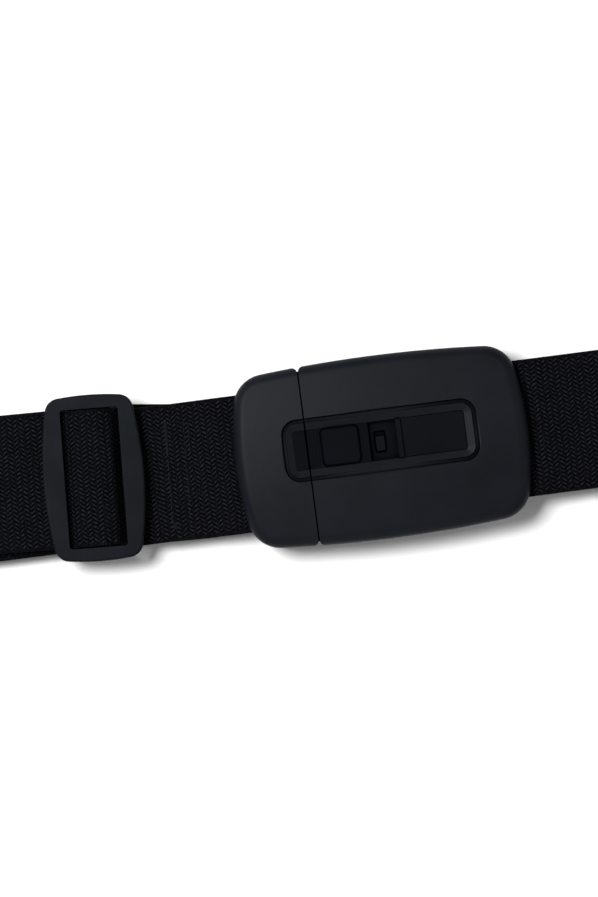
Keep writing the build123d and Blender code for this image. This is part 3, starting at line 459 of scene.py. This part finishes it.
def webbing(name, route, place, start=0.0, step=0.9, columns=60, relief=0.0, skew_start=0.0):
    """A strip of webbing along a route. start is how far along the strap it begins, for the weave."""
    points, along = even_points(route, step)
    section = strip_section(columns)
    tangent = np.gradient(points, axis=0)
    tangent /= np.linalg.norm(tangent, axis=1)[:, None]
    normal = np.stack([-tangent[:, 1], tangent[:, 0]], axis=1)
    if points[0][0] > points[-1][0]:
        normal = -normal
    s = np.repeat(along + start, len(section))
    t = np.tile(section[:, 0], len(points))
    side = np.tile(section[:, 1], len(points))
    face = np.sign(side) * (abs(side) > STRAP_THICKNESS / 2 - 1e-6)
    lift = side + relief * face * (herringbone(s, t) - 0.75)
    centre = np.repeat(points, len(section), axis=0)
    up = np.repeat(normal, len(section), axis=0)
    x = centre[:, 0] + up[:, 0] * lift
    z = centre[:, 1] + up[:, 1] * lift
    fade = np.clip(1 - np.repeat(along, len(section)) / CUT_FADE, 0, 1)
    x = x + t * skew_start * fade
    x, y = place(x, t)
    vertices = np.stack([x, y, z], axis=1)
    ring = len(section)
    stations = len(points)
    first = np.arange(stations - 1)[:, None] * ring
    here = np.arange(ring)
    after = (here + 1) % ring
    quads = np.stack([first + here, first + after, first + ring + after, first + ring + here], axis=2)
    faces = quads.reshape(-1, 4).tolist()
    faces.append(list(range(ring))[::-1])
    faces.append([(stations - 1) * ring + i for i in range(ring)])
    piece = mesh_object(name, vertices, faces, np.stack([s, t], axis=1), WEBBING)
    return piece, start + along[-1]


def layer_z(number):
    """The height of the middle of a layer of the folded strap."""
    return number * LAYER_PITCH + STRAP_THICKNESS / 2


def fold(x, first, last, side):
    """The two corners and radii of a half-circle fold from one layer to another."""
    radius = abs(layer_z(first) - layer_z(last)) / 2
    corners = [(x + side * radius, layer_z(first)), (x + side * radius, layer_z(last))]
    return corners, [radius, radius]


INNER_LAYERS = following(1.25, 0.004)
OUTER_LAYERS = following(3.3, 0.0338)


def folded_run(name, mouth, mouth_radii, layers, node):
    """A length that leaves the receiver: its top run, the middle layers and the lowest layer."""
    top, second, third, lowest = layers
    corners = [*mouth, (RIGHT_FOLD_X - 4, layer_z(top))]
    fold_corners, fold_radii = fold(RIGHT_FOLD_X, top, second, 1)
    corners += [*fold_corners, (RIGHT_FOLD_X, layer_z(second))]
    route = rounded_route(corners, [*mouth_radii, 1.0, *fold_radii])
    upper, reached = webbing(f"{name}_top", route, straight, step=0.45, columns=150, relief=RELIEF)
    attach(upper, "receiver")
    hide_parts(node)
    left_corners, left_radii = fold(INNER_FOLD_X, second, third, -1)
    right_corners, right_radii = fold(RIGHT_FOLD_X, third, lowest, 1)
    low_place = (RIGHT_FOLD_X, layer_z(lowest))
    corners = [(RIGHT_FOLD_X, layer_z(second)), *left_corners, *right_corners, low_place]
    route = rounded_route(corners, [*left_radii, *right_radii])
    middle, reached = webbing(f"{name}_middle", route, INNER_LAYERS, reached, step=1.2)
    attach(middle, "receiver")
    route = rounded_route([low_place, (LEFT_FOLD_END_X, layer_z(lowest))], [])
    bottom = webbing(f"{name}_lowest", route, OUTER_LAYERS, reached, step=1.2)[0]
    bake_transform(bottom)


receiver_mouth = [
    (81.0, MOUTH_BACK),
    (77.0, MOUTH_BACK),
    (72.5, BAR_LOOP_BACK),
    (66.8, BAR_LOOP_BACK),
    (66.8, BAR_LOOP_FRONT),
    (72.5, BAR_LOOP_FRONT),
    (77.0, MOUTH_FRONT),
    (88.0, MOUTH_FRONT),
    (103.0, layer_z(7)),
]
mouth_radii = [SOFT_BEND, SOFT_BEND, BAR_BEND, BAR_BEND, SOFT_BEND, SOFT_BEND, SOFT_BEND, SOFT_BEND]
folded_run("front_webbing", receiver_mouth, mouth_radii, (7, 4, 3, 0), "strap_front_layer")
back_mouth = [(81.2, MOUTH_BACK), (87.0, MOUTH_BACK), (101.0, layer_z(6))]
folded_run("back_webbing", back_mouth, [SOFT_BEND, SOFT_BEND], (6, 5, 2, 1), "strap_back_layer")

TAIL_Z = layer_z(6) + STRAP_THICKNESS + 0.1
tail_corners = [
    (-52.0, TAIL_Z),
    (-38.0, TAIL_Z),
    (-26.0, MOUTH_FRONT),
    (-18.0, MOUTH_FRONT),
    (-14.5, BAR_LOOP_FRONT),
    (-8.8, BAR_LOOP_FRONT),
    (-8.8, BAR_LOOP_BACK),
    (-14.5, BAR_LOOP_BACK),
    (-19.0, MOUTH_BACK),
    (-25.0, MOUTH_BACK),
]
tail_radii = [SOFT_BEND, SOFT_BEND, SOFT_BEND, SOFT_BEND, BAR_BEND, BAR_BEND, SOFT_BEND, SOFT_BEND]
tail, tail_end = webbing(
    "tongue_webbing_loop",
    rounded_route(tail_corners, tail_radii),
    tongue_line,
    step=0.36,
    columns=150,
    relief=RELIEF,
    skew_start=math.tan(ADJUSTER_TILT),
)
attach(tail, "tongue")
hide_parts("strap_tongue_end")

under_corners = [(-25.0, MOUTH_BACK), (-37.0, layer_z(6)), (-62.0, layer_z(6))]
under_route = rounded_route(under_corners, SOFT_BEND)
under, under_end = webbing(
    "tongue_webbing_under", under_route, tongue_line, tail_end, 0.45, 150, RELIEF
)
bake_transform(under)

UNDER_ADJUSTER = 12.4
HUMP = 16.3
hump_route = rounded_route(
    [
        (13.4, layer_z(6)),
        (9.8, layer_z(6)),
        (7.2, HUMP - 1.6),
        (3.0, HUMP),
        (-3.4, HUMP),
        (-6.6, HUMP - 1.1),
        (-8.8, UNDER_ADJUSTER),
        (-14.5, UNDER_ADJUSTER),
    ],
    [1.1, 1.1, 6.0, 6.0, 1.1, 1.1],
)
hump, hump_end = webbing(
    "webbing_over_adjuster_bar", hump_route, tilted, under_end, 0.36, 150, RELIEF
)
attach(hump, "adjuster")
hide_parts("strap_over_bar")

left_corners, left_radii = fold(LEFT_FOLD_X - ADJUSTER[0], 7, 0, -1)
left_route = rounded_route(
    [
        (-14.5, UNDER_ADJUSTER),
        (-42.0, UNDER_ADJUSTER),
        (-52.0, layer_z(7)),
        *left_corners,
        (-53.6, layer_z(0)),
    ],
    [SOFT_BEND, SOFT_BEND, *left_radii],
)
left_front = webbing("left_webbing_front", left_route, tilted, hump_end, 0.42, 150, RELIEF)[0]
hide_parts("strap_left_front")

SEWN_TOP = 14.9
SEWN_LOW = 11.9
sewn_radius = (SEWN_TOP - SEWN_LOW) / 2
sewn_route = rounded_route(
    [
        (-38.0, TAIL_Z),
        (-9.0, TAIL_Z),
        (-4.0, SEWN_TOP),
        (3.0 + sewn_radius, SEWN_TOP),
        (3.0 + sewn_radius, SEWN_LOW),
        (-3.8, SEWN_LOW),
        (-7.0, layer_z(6)),
        (-36.0, layer_z(6)),
    ],
    [1.2, 1.2, sewn_radius, sewn_radius, 1.2, 1.2],
)
sewn, sewn_end = webbing("adjuster_webbing_loop", sewn_route, tilted, 0.0, 0.7, 60)
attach(sewn, "adjuster")
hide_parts("strap_adjuster_end")

left_corners, left_radii = fold(LEFT_FOLD_X - ADJUSTER[0], 6, 1, -1)
back_route = rounded_route(
    [
        (-38.2, TAIL_Z),
        (-40.5, TAIL_Z),
        (-48.0, layer_z(6)),
        *left_corners,
        (-53.6, layer_z(1)),
    ],
    [SOFT_BEND, SOFT_BEND, *left_radii],
)
left_back = webbing("left_webbing_back", back_route, tilted, sewn_end, 0.6, 60)[0]
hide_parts("strap_left_back")


def on_left_run(x):
    """A point of the left run in metres."""
    x, y = tilted(x, 0.0)
    return (x * MM, y * MM, 0.0)


blend_start = on_left_run(-ADJUSTER_TRAVEL_PLANE)
blend_end = on_left_run(-LEFT_BLEND_END)
for piece in (left_front, left_back):
    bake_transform(piece)


# ---------------------------------------------------------------- stitching
TUBE_SIDES = 8
STITCH_DEPTH = 0.3  # how far a stitch's ends go into the webbing


def thread_run(path, radius):
    """A tube round a path, as vertices, faces and UVs."""
    path = np.array(path, float)
    tangent = np.gradient(path, axis=0)
    tangent /= np.linalg.norm(tangent, axis=1)[:, None]
    side = np.cross(tangent, [0.0, 0.0, 1.0])
    side /= np.linalg.norm(side, axis=1)[:, None]
    up = np.cross(side, tangent)
    turns = np.linspace(0, 2 * math.pi, TUBE_SIDES + 1)[:-1]
    rings = [path + radius * (math.cos(a) * side + math.sin(a) * up) for a in turns]
    vertices = np.stack(rings, axis=1).reshape(-1, 3)
    along = np.r_[0, np.cumsum(np.linalg.norm(np.diff(path, axis=0), axis=1))]
    round_share = np.tile(turns / (2 * math.pi), len(path))
    uvs = np.stack([np.repeat(along, TUBE_SIDES), round_share], axis=1)
    faces = []
    for i in range(len(path) - 1):
        ring = i * TUBE_SIDES
        for j in range(TUBE_SIDES):
            k = (j + 1) % TUBE_SIDES
            faces.append((ring + j, ring + k, ring + TUBE_SIDES + k, ring + TUBE_SIDES + j))
    faces.append(tuple(range(TUBE_SIDES))[::-1])
    faces.append(tuple((len(path) - 1) * TUBE_SIDES + j for j in range(TUBE_SIDES)))
    return vertices, faces, uvs


def stitch(start, end, radius, base_z):
    """One stitch that rises out of the webbing, lies on it, and goes back in."""
    start = np.array(start, float)
    end = np.array(end, float)
    rows = []
    for share in np.linspace(0, 1, 9):
        arch = 1 - abs(2 * share - 1) ** 3
        x, y = start + (end - start) * share
        rows.append((x, y, base_z - STITCH_DEPTH + arch * STITCH_DEPTH))
    return thread_run(rows, radius)


def joined_runs(name, runs, place, material):
    """Runs of thread or wire joined into one piece."""
    all_vertices, all_faces, all_uvs = [], [], []
    count = 0
    for vertices, faces, uvs in runs:
        x, y = place(vertices[:, 0], vertices[:, 1])
        all_vertices.append(np.stack([x, y, vertices[:, 2]], axis=1))
        all_faces += [tuple(i + count for i in face) for face in faces]
        all_uvs.append(uvs)
        count += len(vertices)
    piece = mesh_object(name, np.concatenate(all_vertices), all_faces, np.concatenate(all_uvs), material)
    return piece


def straight_row(row_x, low, high, pitch, radius, base_z, skew=0.0):
    """A row of lockstitches across the strap."""
    stitches = []
    count = int((high - low) / pitch)
    for i in range(count):
        y = low + i * pitch
        wobble = 0.1 * math.sin(i * 2.3)
        near = (row_x + y * skew + wobble, y + 0.2)
        far = (row_x + (y + pitch) * skew - wobble, y + pitch - 0.2)
        stitches.append(stitch(near, far, radius, base_z))
    return stitches


def tack_row(row_x, low, high, width, pitch, radius, base_z, skew=0.0):
    """A dense zigzag that locks the end of a row."""
    stitches = []
    count = int((high - low) / pitch)
    for i in range(count):
        y = low + i * pitch
        half = width / 2 * (1 if i % 2 else -1)
        near = (row_x + y * skew - half, y)
        far = (row_x + (y + pitch) * skew + half, y + pitch)
        stitches.append(stitch(near, far, radius, base_z))
    return stitches


TAIL_TOP = TAIL_Z + STRAP_THICKNESS / 2
SKEW = math.tan(ADJUSTER_TILT)
sewn_rows = tack_row(-48.2, 6.0, 19.6, 1.0, 0.5, 0.2, TAIL_TOP, SKEW)
sewn_rows += straight_row(-48.2, -18.6, 6.0, 2.4, 0.2, TAIL_TOP, SKEW)
sewn_rows += tack_row(-47.4, -20.6, -18.2, 1.6, 0.8, 0.18, TAIL_TOP, SKEW)
sewn_rows += straight_row(-41.6, -20.2, 19.6, 2.4, 0.17, TAIL_TOP, SKEW)
sewn_rows += straight_row(-39.9, 6.0, 18.0, 2.4, 0.15, TAIL_TOP, SKEW)
tongue_stitches = joined_runs("tongue_stitches", sewn_rows, tongue_line, THREAD)
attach(tongue_stitches, "tongue")
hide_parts("tongue_stitching")

hidden_rows = straight_row(-22.0, -20.0, 20.0, 2.6, 0.22, TAIL_TOP)
hidden_rows += straight_row(-31.0, -20.0, 20.0, 2.6, 0.22, TAIL_TOP)
adjuster_stitches = joined_runs("adjuster_stitches", hidden_rows, tilted, THREAD)
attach(adjuster_stitches, "adjuster")
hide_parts("adjuster_stitching")

# ---------------------------------------------------------------- the springs under the button
BUTTON_X = 15.2
SPRING_PLACES = (-4.8, 9.6)
SPRING_RADIUS = 1.3
SPRING_WIRE = 0.5
SPRING_COILS = 5
SPRING_LOW = 11.1
SPRING_HIGH = 17.1


def coil_spring(spring_y):
    """The wire of one upright spring."""
    share = np.linspace(0, 1, SPRING_COILS * 20 + 1)
    turn = 2 * math.pi * SPRING_COILS * share
    x = BUTTON_X + SPRING_RADIUS * np.cos(turn)
    y = spring_y + SPRING_RADIUS * np.sin(turn)
    z = SPRING_LOW + (SPRING_HIGH - SPRING_LOW) * share
    return thread_run(np.stack([x, y, z], axis=1), SPRING_WIRE / 2)


coils = [coil_spring(spring_y) for spring_y in SPRING_PLACES]
springs = joined_runs("button_return_springs", coils, straight, SPRING_STEEL)
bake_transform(springs)
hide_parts("button_springs")

# ---------------------------------------------------------------- floor, camera and lights
VIEW_TURN = math.radians(-7.4)
VIEW_CENTRE = Vector((0.0, 3.3, 0.0)) * MM
LENS = 200.0
SENSOR = 36.0
PHOTO_HEIGHT = 326.0  # of the photo's frame, in mm at the height of the buckle's face
FACE_HEIGHT = 18.0

camera_data = bpy.data.cameras.new("camera")
camera_data.lens = LENS
camera_data.sensor_width = SENSOR
camera_data.clip_start = 0.05
camera_data.clip_end = 20.0
camera = bpy.data.objects.new("camera", camera_data)
camera_height = (PHOTO_HEIGHT * LENS / SENSOR + FACE_HEIGHT) * MM
camera.location = VIEW_CENTRE + Vector((0, 0, camera_height))
camera.rotation_euler = (0, 0, VIEW_TURN)
bpy.context.scene.collection.objects.link(camera)
bpy.context.scene.camera = camera

FLOOR_HALF = 3.0  # in metres, like the softboxes' places
floor_mesh = bpy.data.meshes.new("floor")
floor_corners = [(x * FLOOR_HALF, y * FLOOR_HALF, 0) for x, y in ((-1, -1), (1, -1), (1, 1), (-1, 1))]
floor_mesh.from_pydata(floor_corners, [], [(0, 1, 2, 3)])
floor = bpy.data.objects.new("floor", floor_mesh)
bpy.context.scene.collection.objects.link(floor)
floor_material, floor_tree, floor_shader = new_material("pale_floor")
floor_where = linked(floor_tree, "ShaderNodeTexCoord").outputs["Object"]
floor_tone = noise(floor_tree, floor_where, 40.0)
floor_stops = [(0.0, (0.87, 0.87, 0.87)), (1.0, (0.9, 0.9, 0.9))]
floor_tree.links.new(colours(floor_tree, floor_tone, floor_stops), floor_shader.inputs["Base Color"])
floor_shader.inputs["Roughness"].default_value = 0.9
floor_shader.inputs["Specular IOR Level"].default_value = 0.1
floor_mesh.materials.append(floor_material)


def softbox(name, right, up, height, size, power):
    """A square area light at a place given along the picture's axes, turned to the object."""
    across = Vector((math.cos(VIEW_TURN), math.sin(VIEW_TURN), 0))
    upwards = Vector((-math.sin(VIEW_TURN), math.cos(VIEW_TURN), 0))
    data = bpy.data.lights.new(name, "AREA")
    data.size = size
    data.energy = power
    light = bpy.data.objects.new(name, data)
    light.location = across * right + upwards * up + Vector((0, 0, height))
    light.rotation_mode = "QUATERNION"
    light.rotation_quaternion = (-light.location).to_track_quat("-Z", "Y")
    bpy.context.scene.collection.objects.link(light)


softbox("key", right=-0.8, up=0.4, height=1.7, size=0.7, power=52.0)
softbox("fill", right=1.5, up=0.2, height=1.0, size=1.2, power=5.0)
softbox("low_fill", right=0.3, up=-1.7, height=1.0, size=1.2, power=9.0)

world = bpy.data.worlds.new("world")
world.use_nodes = True
world.node_tree.nodes["Background"].inputs["Color"].default_value = (1.0, 1.0, 1.0, 1.0)
world.node_tree.nodes["Background"].inputs["Strength"].default_value = 0.06
bpy.context.scene.world = world
bpy.context.scene.view_settings.view_transform = "Standard"
